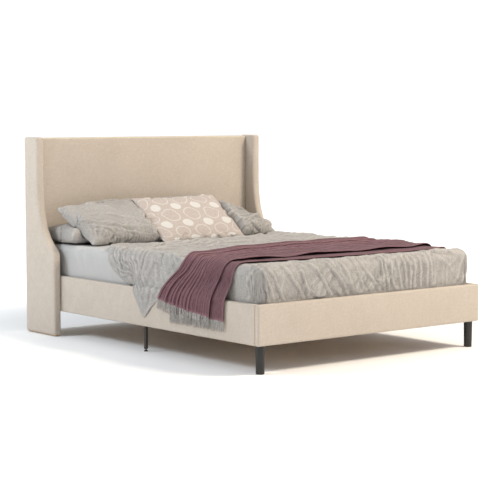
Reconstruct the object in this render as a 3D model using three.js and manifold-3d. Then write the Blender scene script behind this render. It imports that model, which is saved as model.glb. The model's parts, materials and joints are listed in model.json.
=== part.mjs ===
// An upholstered bed with a winged headboard, made up with its bedding.
// Millimetres. +X is to the right seen from the foot, +Y runs from foot to head, +Z is up.
// The origin is on the floor, under the middle of the bed's bounding box.
import * as THREE from "three";
import { mergeVertices } from "three/addons/utils/BufferGeometryUtils.js";
import Module from "manifold-3d";

const wasm = await Module();
wasm.setup();

// ---- Driving dimensions -------------------------------------------------------------------

const bedLength = 2155; // front of the foot rail to the back of the headboard
const railSpan = 1600; // across the outer faces of the side rails
const gap = 0.3; // between pieces that touch
const outlineSteps = 10; // segments in each curved stretch

const wing = { thickness: 48, height: 1167, footDepth: 323, headDepth: 147 };
const wingWrap = 6; // padding and fabric round the wing's core
const wingCurve = {
  topCorner: 18,
  neckBottom: 920, // the front edge is upright above this
  neckPull: 760, // heights that the hollow curve leans towards
  hollowPull: 600,
  hollowDepth: 23, // how far before the neck the lower pull is
  shoulderTop: 522,
  shoulderPull: 498,
  shoulderBottom: 475,
  shoulderForward: 36, // from the front face back to the top of the shoulder
};
const glide = { radius: 12, height: 4, fromFront: 45, fromBack: 42 };

const headboard = { top: 1162, thickness: 63 };
const headboardLayers = { cover: 3, foam: 30, board: 15, batten: 12, backCloth: 1.5 };
const battenHeight = 60;

const rail = { bottom: 146, top: 356, thickness: 30, wrap: 5, hem: 30 };
const footRailCorner = 12; // radius of its upholstered corners

const mattress = { width: 1524, length: 2032, height: 250, corner: 70, edge: 30 };
const mattressToFootRail = 12.5;
const slat = { count: 12, width: 90, thickness: 18, length: 1534 };
const ledger = { width: 25, height: 40, rise: 118.4 };
const beam = { width: 50, height: 42.4 };
const hanger = { sheet: 3, length: 45, height: 31 };

const frontLeg = { topRadius: 24.5, footRadius: 22, fromSide: 45, fromFoot: 40 };
const legStud = { radius: 4, length: 45, clearance: 0.4 };
const cornerBlock = 70;
const railBracket = { sheet: 3, length: 64, bottom: 150, top: 215 };

const crossbar = { fromMiddle: -44.5, depth: 20, height: 27.7 };
const midLeg = { side: 16, fromRailFace: 43.5, bottom: 14 };
const levellingFoot = { radius: 11, height: 6, studRadius: 4, studTop: 44, boreTop: 60 };

const sheetThickness = 1.5;
const duvet = { top: 13, side: 3.5, hem: 330 };
const duvetHeadEnd = [
  [-800, 210],
  [-764, 240],
  [-620, 420],
  [-500, 470],
  [0, 482],
  [470, 530],
  [560, 575],
  [800, 595],
]; // (x, y) of its edge on the bed, from the left to the right
const duvetFlap = { sheet: 4, standOff: 2, headEdge: -20, footEdge: -330 };
const throwCloth = { thickness: 9, hem: 262, footEdge: -840, headEdge: -240 };
const throwDrape = { leaves: 470, meetsRail: 366, standOff: 6.5 }; // down each side of the bed

// ---- Planes worked out from them -----------------------------------------------------------

const footFace = -bedLength / 2;
const headFace = bedLength / 2;
const railFace = railSpan / 2;
const railInside = railFace - rail.thickness;
const footRailBack = footFace + rail.thickness;
const headboardFront = headFace - headboard.thickness;
const ledgerTop = rail.bottom + ledger.rise;
const ledgerBottom = ledgerTop - ledger.height;
const slatTop = ledgerTop + gap + slat.thickness;
const mattressBottom = slatTop + gap;
const mattressTop = mattressBottom + mattress.height;
const mattressFoot = footRailBack + mattressToFootRail;
const mattressHead = mattressFoot + mattress.length;
const sheetTop = mattressTop + gap + sheetThickness;
const beamBottom = ledgerTop - beam.height;
const crossbarTop = beamBottom - gap;
const crossbarBottom = crossbarTop - crossbar.height;

// ---- Looks ---------------------------------------------------------------------------------

const looks = {
  upholstery: { color: 0xd6c7b3, roughness: 0.95, metalness: 0 },
  foam: { color: 0xe9e2c8, roughness: 0.9, metalness: 0 },
  wood: { color: 0xcfa873, roughness: 0.7, metalness: 0 },
  dustCloth: { color: 0x2c2c2e, roughness: 1, metalness: 0 },
  legBlack: { color: 0x1c1917, roughness: 0.5, metalness: 0 },
  steel: { color: 0x3b3431, roughness: 0.45, metalness: 0.8 },
  nylon: { color: 0x222222, roughness: 0.6, metalness: 0 },
  ticking: { color: 0xf2f1ed, roughness: 0.95, metalness: 0 },
  sheet: { color: 0xd9dadb, roughness: 0.95, metalness: 0 },
  duvet: { color: 0xc4bfb6, roughness: 0.95, metalness: 0 },
  plum: { color: 0x7a545c, roughness: 1, metalness: 0 },
  linen: { color: 0xb9b1a6, roughness: 0.95, metalness: 0 },
  print: { color: 0xddd2c8, roughness: 0.95, metalness: 0 },
};

// ---- Helpers -------------------------------------------------------------------------------

const bed = new THREE.Group();

// Adds one named mesh with a material of its own.
function add(name, geometry, look, place = [0, 0, 0]) {
  const mesh = new THREE.Mesh(geometry, new THREE.MeshStandardMaterial(look));
  mesh.name = name;
  mesh.position.set(...place);
  bed.add(mesh);
}

// A box that fills three ranges.
function block([x0, x1], [y0, y1], [z0, z1]) {
  const geometry = new THREE.BoxGeometry(x1 - x0, y1 - y0, z1 - z0);
  return geometry.translate((x0 + x1) / 2, (y0 + y1) / 2, (z0 + z1) / 2);
}

// The range between two distances from the middle, on the side given: -1 left, +1 right.
function across(side, near, far) {
  return side > 0 ? [near, far] : [-far, -near];
}

// An outline drawn in (y, z), made solid across the given range of x.
function extrudeAcross(shape, [x0, x1], options = {}) {
  const bevel = options.bevel ?? 0;
  const geometry = new THREE.ExtrudeGeometry(shape, {
    depth: x1 - x0 - 2 * bevel,
    curveSegments: outlineSteps,
    bevelEnabled: bevel > 0,
    bevelThickness: bevel,
    bevelSize: bevel,
    bevelOffset: -bevel,
    bevelSegments: 2,
  });
  const turn = new THREE.Matrix4().makeBasis(
    new THREE.Vector3(0, 1, 0),
    new THREE.Vector3(0, 0, 1),
    new THREE.Vector3(1, 0, 0),
  );
  return geometry.applyMatrix4(turn).translate(x0 + bevel, 0, 0);
}

// An outline drawn in (x, z), made solid along the given range of y.
function extrudeAlong(shape, [y0, y1]) {
  const geometry = new THREE.ExtrudeGeometry(shape, {
    depth: y1 - y0,
    curveSegments: outlineSteps,
    bevelEnabled: false,
  });
  return geometry.rotateX(Math.PI / 2).translate(0, y1, 0);
}

// An outline drawn in (x, y), made solid through the given range of z.
function extrudeUp(shape, [z0, z1]) {
  const geometry = new THREE.ExtrudeGeometry(shape, {
    depth: z1 - z0,
    curveSegments: outlineSteps,
    bevelEnabled: false,
  });
  return geometry.translate(0, 0, z0);
}

// A turned piece that stands on the given point, its profile in (radius, height).
function turned(profile, segments) {
  const points = profile.map(([radius, height]) => new THREE.Vector2(radius, height));
  return new THREE.LatheGeometry(points, segments).rotateX(Math.PI / 2);
}

function polygon(points) {
  return new THREE.Shape(points.map(([a, b]) => new THREE.Vector2(a, b)));
}

// A closed geometry as a solid that can be joined and cut.
function solidOf(geometry) {
  const bare = geometry.clone();
  bare.deleteAttribute("normal");
  bare.deleteAttribute("uv");
  const merged = mergeVertices(bare);
  return new wasm.Manifold(
    new wasm.Mesh({
      numProp: 3,
      vertProperties: merged.attributes.position.array,
      triVerts: new Uint32Array(merged.index.array),
    }),
  );
}

function geometryOf(solid) {
  const mesh = solid.getMesh();
  const indexed = new THREE.BufferGeometry();
  indexed.setAttribute("position", new THREE.BufferAttribute(mesh.vertProperties, 3));
  indexed.setIndex(new THREE.BufferAttribute(mesh.triVerts, 1));
  const geometry = indexed.toNonIndexed();
  geometry.computeVertexNormals();
  return geometry;
}

// One geometry less some others.
function cut(geometry, ...tools) {
  const left = tools.reduce((rest, tool) => rest.subtract(solidOf(tool)), solidOf(geometry));
  return geometryOf(left);
}

// ---- Headboard -----------------------------------------------------------------------------

// A padded panel: cover, foam, plywood, two battens and a dust cloth, from front to back.
function addHeadboard() {
  const layers = headboardLayers;
  const back = headFace - gap;
  const inX = [-railFace + layers.cover, railFace - layers.cover];
  const inZ = [rail.bottom + layers.cover, headboard.top - layers.cover];
  const fit = ([low, high]) => [low + gap, high - gap];
  const envelope = block([-railFace, railFace], [headboardFront, back], [rail.bottom, headboard.top]);
  const cavity = block(inX, [headboardFront + layers.cover, back + gap], inZ);
  add("headboard_cover", cut(envelope, cavity), looks.upholstery);

  const foamFront = headboardFront + layers.cover + gap;
  const boardFront = foamFront + layers.foam + gap;
  const battenFront = boardFront + layers.board + gap;
  const clothFront = back - layers.backCloth;
  const [low, high] = fit(inZ);
  const layer = (front, thickness, z) => block(fit(inX), [front, front + thickness], z);
  add("headboard_foam", layer(foamFront, layers.foam, [low, high]), looks.foam);
  add("headboard_board", layer(boardFront, layers.board, [low, high]), looks.wood);
  const battens = { bottom: [low, low + battenHeight], top: [high - battenHeight, high] };
  for (const [place, z] of Object.entries(battens)) {
    add(`headboard_batten_${place}`, layer(battenFront, layers.batten - gap, z), looks.wood);
  }
  add("headboard_back_cloth", layer(clothFront, layers.backCloth, [low, high]), looks.dustCloth);
}

// The wing's side view in (y, z): upright front, round shoulder at mattress height, hollow
// curve up to a narrow neck, small round at the top corner.
function wingOutline(inset, bottom) {
  const front = headFace - wing.footDepth + inset;
  const neck = headFace - wing.headDepth + inset;
  const back = headFace - inset;
  const top = wing.height - inset;
  const curve = wingCurve;
  const hollow = neck - curve.hollowDepth;
  const shoulder = front + curve.shoulderForward;
  const outline = new THREE.Shape();
  outline.moveTo(back, bottom);
  outline.lineTo(back, top);
  outline.lineTo(neck + curve.topCorner, top);
  outline.quadraticCurveTo(neck, top, neck, top - curve.topCorner);
  outline.lineTo(neck, curve.neckBottom);
  outline.bezierCurveTo(neck, curve.neckPull, hollow, curve.hollowPull, shoulder, curve.shoulderTop);
  outline.quadraticCurveTo(front, curve.shoulderPull, front, curve.shoulderBottom);
  outline.lineTo(front, bottom);
  return outline;
}

// A plywood core in a padded cover that is open underneath, on two glides.
function addWing(name, side) {
  const near = railFace + gap;
  const far = railFace + wing.thickness;
  const core = across(side, near + wingWrap, far - wingWrap);
  const cavity = across(side, near + wingWrap - gap, far - wingWrap + gap);
  const body = extrudeAcross(wingOutline(0, glide.height), across(side, near, far), { bevel: 5 });
  const room = extrudeAcross(wingOutline(wingWrap - gap, -glide.height), cavity);
  add(`${name}_core`, extrudeAcross(wingOutline(wingWrap, glide.height), core), looks.wood);
  add(`${name}_cover`, cut(body, room), looks.upholstery);

  const middle = side * (near + far) / 2;
  const places = {
    front: headFace - wing.footDepth + glide.fromFront,
    back: headFace - glide.fromBack,
  };
  const profile = [[0, 0], [glide.radius - 1, 0], [glide.radius, 1]];
  profile.push([glide.radius, glide.height - gap], [0, glide.height - gap]);
  for (const [place, y] of Object.entries(places)) {
    add(`${name}_glide_${place}`, turned(profile, 24), looks.nylon, [middle, y, 0]);
  }
}

// ---- Rails ---------------------------------------------------------------------------------

// A board with its cover folded round it: the cover's hems show on the inner face.
function addSideRail(name, side) {
  const y = [footRailBack + gap, headboardFront - gap];
  const outer = railFace - gap;
  const boardNear = railInside + rail.wrap;
  const boardFar = railFace - rail.wrap;
  const boardZ = [rail.bottom + rail.wrap, rail.top - rail.wrap];
  add(`${name}_board`, block(across(side, boardNear, boardFar), y, boardZ), looks.wood);

  const [low, high] = [boardZ[0] - gap, boardZ[1] + gap];
  const channel = [
    [railInside, rail.bottom],
    [outer, rail.bottom],
    [outer, rail.top],
    [railInside, rail.top],
    [railInside, rail.top - rail.hem],
    [boardNear - gap, rail.top - rail.hem],
    [boardNear - gap, high],
    [boardFar + gap, high],
    [boardFar + gap, low],
    [boardNear - gap, low],
    [boardNear - gap, rail.bottom + rail.hem],
    [railInside, rail.bottom + rail.hem],
  ].map(([x, z]) => [side * x, z]);
  add(`${name}_cover`, extrudeAlong(polygon(channel), y), looks.upholstery);
}

// A rectangle in (x, y) whose two foot corners are round.
function footRailPlan() {
  const r = footRailCorner;
  const plan = new THREE.Shape();
  plan.moveTo(railFace, footRailBack);
  plan.lineTo(-railFace, footRailBack);
  plan.lineTo(-railFace, footFace + r);
  plan.absarc(-railFace + r, footFace + r, r, Math.PI, 1.5 * Math.PI, false);
  plan.lineTo(railFace - r, footFace);
  plan.absarc(railFace - r, footFace + r, r, 1.5 * Math.PI, 2 * Math.PI, false);
  return plan;
}

function addFootRail() {
  const half = railFace - rail.wrap;
  const boardY = [footFace + rail.wrap, footRailBack - rail.wrap];
  const boardZ = [rail.bottom + rail.wrap, rail.top - rail.wrap];
  const loose = ([low, high]) => [low - gap, high + gap];
  const room = block(loose([-half, half]), loose(boardY), loose(boardZ));
  const windowX = [-railInside, railInside];
  const windowZ = [rail.bottom + rail.hem, rail.top - rail.hem];
  const opening = block(windowX, [boardY[1], footRailBack + gap], windowZ);
  const wrapped = extrudeUp(footRailPlan(), [rail.bottom, rail.top]);
  add("foot_rail_board", block([-half, half], boardY, boardZ), looks.wood);
  add("foot_rail_cover", cut(wrapped, room, opening), looks.upholstery);
}

// A strip along the inside of each side rail that carries the slats' ends.
function addLedger(name, side) {
  const x = across(side, railInside - gap - ledger.width, railInside - gap);
  const y = [footRailBack + gap, headboardFront - gap];
  add(name, block(x, y, [ledgerBottom, ledgerTop]), looks.wood);
}

// A steel angle that joins the head end of a side rail to the headboard.
function addRailBracket(name, side) {
  const outer = railInside - gap;
  const back = headboardFront - gap;
  const inner = outer - railBracket.length;
  const front = back - railBracket.length;
  const angle = [
    [outer, front],
    [outer, back],
    [inner, back],
    [inner, back - railBracket.sheet],
    [outer - railBracket.sheet, back - railBracket.sheet],
    [outer - railBracket.sheet, front],
  ].map(([x, y]) => [side * x, y]);
  const z = [railBracket.bottom, railBracket.top];
  add(name, extrudeUp(polygon(angle), z), looks.steel);
}

// ---- Legs ----------------------------------------------------------------------------------

// A tapered round leg whose stud goes up into a drilled block in the corner of the rails.
function addFrontLeg(side) {
  const end = side > 0 ? "right" : "left";
  const x = side * (railFace - frontLeg.fromSide);
  const y = footFace + frontLeg.fromFoot;
  const top = rail.bottom - gap;
  const chamfer = 1.5;
  const profile = [
    [0, 0],
    [frontLeg.footRadius - chamfer, 0],
    [frontLeg.footRadius, chamfer],
    [frontLeg.topRadius, top - chamfer],
    [frontLeg.topRadius - chamfer, top],
    [legStud.radius, top],
    [legStud.radius, top + legStud.length],
    [0, top + legStud.length],
  ];
  add(`front_leg_${end}`, turned(profile, 48), looks.legBlack, [x, y, 0]);

  const blockX = across(side, railInside - gap - cornerBlock, railInside - gap);
  const blockY = [footRailBack + gap, footRailBack + gap + cornerBlock];
  const body = block(blockX, blockY, [rail.bottom, ledgerBottom - gap]);
  const boreRadius = legStud.radius + legStud.clearance;
  const bore = new THREE.CylinderGeometry(boreRadius, boreRadius, 2 * rail.bottom, 24);
  bore.rotateX(Math.PI / 2).translate(x, y, rail.bottom);
  add(`corner_block_${end}`, cut(body, bore), looks.wood);
}

// A square leg with a bore from below for the stud of its levelling foot.
function addMidLeg(place, x) {
  const y = crossbar.fromMiddle;
  const half = midLeg.side / 2;
  const body = block([x - half, x + half], [y - half, y + half], [midLeg.bottom, crossbarBottom - gap]);
  const boreRadius = levellingFoot.studRadius + gap;
  const bore = new THREE.CylinderGeometry(boreRadius, boreRadius, 2 * levellingFoot.boreTop, 24);
  bore.rotateX(Math.PI / 2).translate(x, y, 0);
  add(`mid_leg_${place}`, cut(body, bore), looks.steel);

  const { radius, height, studRadius, studTop } = levellingFoot;
  const profile = [
    [0, 0],
    [radius - 1, 0],
    [radius, 1],
    [radius, height - 1],
    [radius - 1, height],
    [studRadius, height],
    [studRadius, studTop],
    [0, studTop],
  ];
  add(`mid_foot_${place}`, turned(profile, 32), looks.nylon, [x, y, 0]);
}

function addMidSupport() {
  const half = railInside - 1;
  const y = [crossbar.fromMiddle - crossbar.depth / 2, crossbar.fromMiddle + crossbar.depth / 2];
  add("mid_crossbar", block([-half, half], y, [crossbarBottom, crossbarTop]), looks.steel);
  const out = railFace - midLeg.fromRailFace;
  for (const [place, x] of Object.entries({ left: -out, center: 0, right: out })) {
    addMidLeg(place, x);
  }
}

// ---- Slat base -----------------------------------------------------------------------------

// The beam under the slats rests in a folded steel saddle at each end.
function addCenterBeam() {
  const half = beam.width / 2;
  const y = [footRailBack + 2 * gap, headboardFront - 2 * gap];
  add("center_beam", block([-half, half], y, [beamBottom, ledgerTop]), looks.wood);

  const inner = half + gap;
  const outer = inner + hanger.sheet;
  const floor = beamBottom - gap;
  const bottom = floor - hanger.sheet;
  const saddle = [
    [-outer, bottom],
    [outer, bottom],
    [outer, bottom + hanger.height],
    [inner, bottom + hanger.height],
    [inner, floor],
    [-inner, floor],
    [-inner, bottom + hanger.height],
    [-outer, bottom + hanger.height],
  ];
  const ends = { foot: [y[0], y[0] + hanger.length], head: [y[1] - hanger.length, y[1]] };
  for (const [end, range] of Object.entries(ends)) {
    add(`beam_hanger_${end}`, extrudeAlong(polygon(saddle), range), looks.steel);
  }
}

function addSlats() {
  const pitch = (headboardFront - footRailBack) / slat.count;
  const size = [slat.length, slat.width, slat.thickness];
  for (let i = 0; i < slat.count; i++) {
    const y = footRailBack + (i + 0.5) * pitch;
    const number = String(i + 1).padStart(2, "0");
    const place = [0, y, ledgerTop + gap + slat.thickness / 2];
    add(`slat_${number}`, new THREE.BoxGeometry(...size), looks.wood, place);
  }
}

// ---- Mattress and bedding ------------------------------------------------------------------

// The mattress's round-edged form, grown outwards by one amount at the sides and one on top.
function mattressForm(sides, top) {
  const half = mattress.width / 2 + sides;
  const y0 = mattressFoot - sides;
  const y1 = mattressHead + sides;
  const { edge, corner } = mattress;
  const r = corner + sides - edge;
  const plan = new THREE.Shape();
  plan.absarc(half - edge - r, y1 - edge - r, r, 0, 0.5 * Math.PI, false);
  plan.absarc(-half + edge + r, y1 - edge - r, r, 0.5 * Math.PI, Math.PI, false);
  plan.absarc(-half + edge + r, y0 + edge + r, r, Math.PI, 1.5 * Math.PI, false);
  plan.absarc(half - edge - r, y0 + edge + r, r, 1.5 * Math.PI, 2 * Math.PI, false);
  const geometry = new THREE.ExtrudeGeometry(plan, {
    depth: mattress.height + top - 2 * edge,
    curveSegments: outlineSteps / 2,
    bevelEnabled: true,
    bevelThickness: edge,
    bevelSize: edge,
    bevelSegments: 4,
  });
  return geometry.translate(0, 0, mattressBottom + edge);
}

// Everything below a height, wider and longer than the bed.
function below(height) {
  return block([-bedLength, bedLength], [-bedLength, bedLength], [-bedLength, height]);
}

function addMattress() {
  add("mattress", mattressForm(0, 0), looks.ticking);
  const outer = gap + sheetThickness;
  const skirtBottom = mattressBottom + mattress.edge;
  const shell = cut(mattressForm(outer, outer), mattressForm(gap, gap), below(skirtBottom));
  add("fitted_sheet", shell, looks.sheet);
}

// The corner of the duvet that has slipped over the left rail and hangs outside it.
function duvetFlapSolid() {
  const { sheet, standOff, headEdge, footEdge } = duvetFlap;
  const inner = -mattress.width / 2 - 4;
  const hang = -railFace - standOff;
  const over = rail.top + 1;
  const lowest = rail.bottom;
  const strip = [
    [inner, over],
    [hang, over],
    [hang, lowest],
    [hang - sheet, lowest],
    [hang - sheet, over + sheet],
    [inner, over + sheet],
  ];
  const hem = [
    [headEdge, mattressTop],
    [headEdge, rail.top],
    [-108, 202],
    [-190, 250],
    [footEdge, 300],
    [footEdge, mattressTop],
  ];
  const hanging = solidOf(extrudeAlong(polygon(strip), [footEdge, headEdge]));
  const outline = solidOf(extrudeAcross(polygon(hem), [hang - 2 * sheet, inner + sheet]));
  return hanging.intersect(outline);
}

function addDuvet() {
  const clear = 2 * gap + sheetThickness;
  const outer = solidOf(mattressForm(clear + duvet.side, clear + duvet.top));
  const inner = solidOf(mattressForm(clear, clear));
  const uncovered = [...duvetHeadEnd, [bedLength, bedLength], [-bedLength, bedLength]];
  const tucked = outer.subtract(inner).subtract(solidOf(below(duvet.hem)));
  const laid = tucked.subtract(solidOf(extrudeUp(polygon(uncovered), [0, bedLength])));
  add("duvet", geometryOf(laid.add(duvetFlapSolid())), looks.duvet);
}

// The throw's section in (x, z): flat on the duvet, round over each edge, out past the rail
// and straight down beside it.
function throwOutline() {
  const { edge } = mattress;
  const duvetSide = mattress.width / 2 + 2 * gap + sheetThickness + duvet.side;
  const centre = { x: duvetSide - edge, z: sheetTop + gap + duvet.top - edge };
  const clear = 1;
  const face = (offset) => ({
    radius: edge + clear + offset,
    out: railFace + throwDrape.standOff + offset,
    sill: throwDrape.meetsRail + offset / 3,
  });
  const inner = face(0);
  const outer = face(throwCloth.thickness);
  const lean = throwDrape.leaves;
  const shape = new THREE.Shape();
  shape.moveTo(outer.out, throwCloth.hem);
  shape.lineTo(outer.out, outer.sill);
  shape.lineTo(centre.x + outer.radius, lean);
  shape.absarc(centre.x, centre.z, outer.radius, 0, 0.5 * Math.PI, false);
  shape.absarc(-centre.x, centre.z, outer.radius, 0.5 * Math.PI, Math.PI, false);
  shape.lineTo(-centre.x - outer.radius, lean);
  shape.lineTo(-outer.out, outer.sill);
  shape.lineTo(-outer.out, throwCloth.hem);
  shape.lineTo(-inner.out, throwCloth.hem);
  shape.lineTo(-inner.out, inner.sill);
  shape.lineTo(-centre.x - inner.radius, lean);
  shape.absarc(-centre.x, centre.z, inner.radius, Math.PI, 0.5 * Math.PI, true);
  shape.absarc(centre.x, centre.z, inner.radius, 0.5 * Math.PI, 0, true);
  shape.lineTo(centre.x + inner.radius, lean);
  shape.lineTo(inner.out, inner.sill);
  shape.lineTo(inner.out, throwCloth.hem);
  return shape;
}

function addThrow() {
  const range = [throwCloth.footEdge, throwCloth.headEdge];
  add("throw", extrudeAlong(throwOutline(), range), looks.plum);
}

// A crowned cushion: a ball drawn out to a square-cornered outline, thin at its edges, leaned
// back about its lower edge. grow makes the same cushion a little larger all round.
function cushionForm(cushion, grow = 0) {
  const { width, height, front, back, lean, yaw, at } = cushion;
  const squareness = 5;
  const ball = new THREE.SphereGeometry(1, 28, 10);
  const position = ball.attributes.position;
  for (let i = 0; i < position.count; i++) {
    const across = position.getX(i);
    const up = -position.getZ(i);
    const out = position.getY(i);
    const reach = Math.hypot(across, up);
    const corner = (Math.abs(across) ** squareness + Math.abs(up) ** squareness) ** (1 / squareness);
    const stretch = corner > 0 ? reach / corner : 1;
    const bulge = (out > 0 ? front : back) + grow;
    position.setXYZ(
      i,
      across * stretch * (width / 2 + grow),
      up * stretch * (height / 2 + grow),
      out * bulge,
    );
  }
  const slope = new THREE.Matrix4().makeRotationX(THREE.MathUtils.degToRad(lean));
  const swing = new THREE.Matrix4().makeRotationZ(THREE.MathUtils.degToRad(yaw));
  return ball.applyMatrix4(slope).applyMatrix4(swing).translate(...at);
}

// The centre of a cushion whose lower edge lies at y on the sheet.
function leaned(cushion, x, y) {
  const lean = THREE.MathUtils.degToRad(cushion.lean);
  const half = cushion.height / 2;
  const lift = 10;
  const at = [x, y + half * Math.cos(lean), sheetTop + lift + half * Math.sin(lean)];
  return { ...cushion, at };
}

// The cushion where it lies and copies of it raised step by step: a dent cut with all of them
// lets the cushion out upwards.
function liftedOut(cushion, grow) {
  const [step, steps] = [3, 30];
  const [x, y, z] = cushion.at;
  const raised = (_, i) => cushionForm({ ...cushion, at: [x, y, z + i * step] }, grow);
  return Array.from({ length: steps + 1 }, raised);
}

function addCushions() {
  const sleeper = { width: 735, height: 440, front: 62, back: 34, lean: 34, yaw: 0 };
  const flat = { width: 730, height: 330, front: 68, back: 46, lean: 0, yaw: 0 };
  const scatter = leaned({ width: 700, height: 400, front: 62, back: 16, lean: 46, yaw: 8 }, 115, 580);
  const rearY = headboardFront - 6 - flat.height / 2;
  const rearZ = sheetTop + gap + flat.back;
  const dent = 2; // clearance where one cushion presses into another
  const bedTop = below(sheetTop + gap);
  const wall = block([-bedLength, bedLength], [headboardFront - gap, bedLength], [0, bedLength]);
  const sides = {
    left: { front: leaned(sleeper, -375, 580), rearX: -418 },
    right: { front: leaned(sleeper, 384, 625), rearX: 404 },
  };
  for (const [name, { front, rearX }] of Object.entries(sides)) {
    const rear = { ...flat, at: [rearX, rearY, rearZ] };
    const frontForm = cut(cushionForm(front), bedTop, wall, ...liftedOut(scatter, dent));
    add(`${name}_pillow`, frontForm, looks.linen);
    const rearForm = cut(cushionForm(rear), bedTop, wall, cushionForm(front, dent));
    add(`rear_pillow_${name}`, rearForm, looks.linen);
  }
  add("scatter_cushion", cut(cushionForm(scatter), bedTop, wall), looks.print);
}

// ---- The whole bed -------------------------------------------------------------------------

addHeadboard();
addFootRail();
for (const [end, side] of Object.entries({ left: -1, right: 1 })) {
  addWing(`wing_${end}`, side);
  addSideRail(`side_rail_${end}`, side);
  addLedger(`ledger_${end}`, side);
  addRailBracket(`rail_bracket_${end}`, side);
  addFrontLeg(side);
}
addMidSupport();
addCenterBeam();
addSlats();
addMattress();
addDuvet();
addThrow();
addCushions();

export default bed;
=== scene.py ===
import json
import math

import bpy
import numpy as np
from mathutils import Matrix, Vector
from mathutils.bvhtree import BVHTree


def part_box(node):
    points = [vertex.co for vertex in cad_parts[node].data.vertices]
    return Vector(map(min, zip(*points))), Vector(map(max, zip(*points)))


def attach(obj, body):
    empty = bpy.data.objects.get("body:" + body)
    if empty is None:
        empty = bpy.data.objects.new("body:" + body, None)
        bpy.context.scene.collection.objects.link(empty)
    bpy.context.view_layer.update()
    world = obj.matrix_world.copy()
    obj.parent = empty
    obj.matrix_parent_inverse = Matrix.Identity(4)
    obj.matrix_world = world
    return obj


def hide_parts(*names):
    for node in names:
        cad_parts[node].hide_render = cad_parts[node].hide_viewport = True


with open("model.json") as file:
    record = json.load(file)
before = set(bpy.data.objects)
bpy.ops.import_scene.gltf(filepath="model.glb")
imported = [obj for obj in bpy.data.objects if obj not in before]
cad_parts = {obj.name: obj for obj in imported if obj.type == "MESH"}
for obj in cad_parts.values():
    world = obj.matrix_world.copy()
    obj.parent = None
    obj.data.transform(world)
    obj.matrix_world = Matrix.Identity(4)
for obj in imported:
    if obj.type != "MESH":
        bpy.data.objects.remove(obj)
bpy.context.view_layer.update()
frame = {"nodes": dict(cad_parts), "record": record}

# The looks of an upholstered headboard bed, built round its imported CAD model. Metres; +X is to
# the right seen from the foot, +Y towards the head, +Z up.


def corners(node):
    """Lowest and highest corner of a CAD node as arrays."""
    return [np.array(corner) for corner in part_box(node)]


# ---- Sizes, taken from the frame -----------------------------------------------------------

rail_low, rail_high = corners("side_rail_left_cover")
RAIL_TOP = rail_high[2]
RAIL_OUTSIDE = -rail_low[0]
RAIL_INSIDE = -rail_high[0]
mattress_low, mattress_high = corners("mattress")
sheet_low, sheet_high = corners("fitted_sheet")
duvet_low, duvet_high = corners("duvet")
throw_low, throw_high = corners("throw")
headboard_low, headboard_high = corners("headboard_cover")
BED_TOP = sheet_high[2]

MATTRESS_CORNER = 0.070
TUCK = 0.026  # how far the bedding goes down inside the rails
RAIL_HEM = 0.030  # how far a rail's cover comes round on to its inner face
WING_BEND = (0.475, 0.498, 0.522)  # heights at which a wing's front edge starts to sweep back
WING_SWEEP = (0.600, 0.760, 0.920)  # and on to its narrow top


# ---- Meshes --------------------------------------------------------------------------------


def new_object(name, points, faces, uv=None):
    """A smooth-shaded mesh object; uv gives each point's place on the flat cloth, in metres."""
    mesh = bpy.data.meshes.new(name)
    mesh.from_pydata(np.asarray(points, float).reshape(-1, 3).tolist(), [], faces)
    mesh.shade_smooth()
    obj = bpy.data.objects.new(name, mesh)
    bpy.context.scene.collection.objects.link(obj)
    if uv is not None:
        loops = np.zeros(len(mesh.loops), int)
        mesh.loops.foreach_get("vertex_index", loops)
        layer = mesh.uv_layers.new(name="cloth")
        layer.data.foreach_set("uv", np.asarray(uv, np.float32).reshape(-1, 2)[loops].ravel())
    return obj


def grid_faces(rows, columns, closed=False, first=0):
    """Faces of a net of points; closed joins its last column to its first."""
    faces = []
    for i in range(rows - 1):
        for j in range(columns if closed else columns - 1):
            k = (j + 1) % columns
            here, above = first + i * columns, first + (i + 1) * columns
            faces.append((here + j, here + k, above + k, above + j))
    return faces


def grid_normals(points):
    """Unit normals of a net of points (rows, columns, 3)."""
    along = np.gradient(points, axis=0)
    across = np.gradient(points, axis=1)
    normals = np.cross(across, along)
    return normals / np.maximum(np.linalg.norm(normals, axis=-1, keepdims=True), 1e-9)


def ripple(points, size, seed, count=24):
    """Smooth uneven heights, about -1 to 1, with features of about the given size."""
    random = np.random.default_rng(seed)
    flat = np.asarray(points, float).reshape(-1, np.shape(points)[-1])
    total = np.zeros(len(flat))
    for _ in range(count):
        heading = random.normal(size=flat.shape[1])
        heading *= 2 * math.pi / size * random.uniform(0.6, 1.5) / np.linalg.norm(heading)
        total += np.sin(flat @ heading + random.uniform(0, 2 * math.pi))
    return (total / math.sqrt(count)).reshape(np.shape(points)[:-1])


def smoothstep(value, low, high):
    share = np.clip((value - low) / (high - low), 0, 1)
    return share * share * (3 - 2 * share)


def modifier(obj, kind, **settings):
    made = obj.modifiers.new(kind.lower(), kind)
    for key, value in settings.items():
        setattr(made, key, value)
    return made


def run_cloth(obj, frames):
    """Points of a cloth object after its simulation; the object itself is removed."""
    scene = bpy.context.scene
    for number in range(1, frames + 1):
        scene.frame_set(number)
    evaluated = obj.evaluated_get(bpy.context.evaluated_depsgraph_get())
    points = np.zeros(len(obj.data.vertices) * 3)
    evaluated.data.vertices.foreach_get("co", points)
    scene.frame_set(1)
    bpy.data.objects.remove(obj)
    return points.reshape(-1, 3)


def capped_faces(rows, sides):
    """Faces of a tube of rings, closed at both ends."""
    faces = grid_faces(rows, sides, closed=True)
    faces.append(tuple(range(sides))[::-1])
    faces.append(tuple((rows - 1) * sides + i for i in range(sides)))
    return faces


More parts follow.
